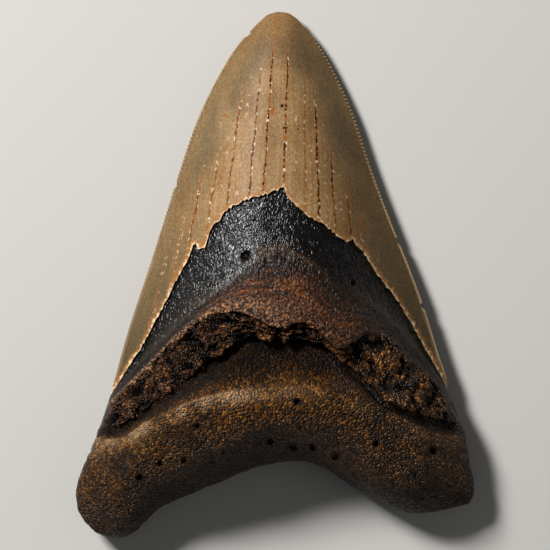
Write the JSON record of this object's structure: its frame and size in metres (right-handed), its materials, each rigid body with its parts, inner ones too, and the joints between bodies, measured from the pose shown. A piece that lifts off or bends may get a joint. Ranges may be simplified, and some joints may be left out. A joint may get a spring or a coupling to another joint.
{
  "type": "megalodon tooth",
  "caption": "Broad triangular fossil shark tooth with finely serrated edges, a chipped enamel crown over dark dentine and a thick lobed root, lying on its flat face.",
  "frame": {"origin": "middle of the tooth's box in plan, on the surface that it lies on", "axes": "+Y from the root towards the tip, +X to the right of the lingual face seen with the tip up, +Z out of the lingual face, upwards"},
  "size_m": [0.0954, 0.1266, 0.0273],
  "materials": {
    "fossil": "satin tan enamel crown, glossy black dentine band and dull granular brown root"
  },
  "bodies": {
    "root": {"tooth": "fossil"}
  },
  "joints": []
}
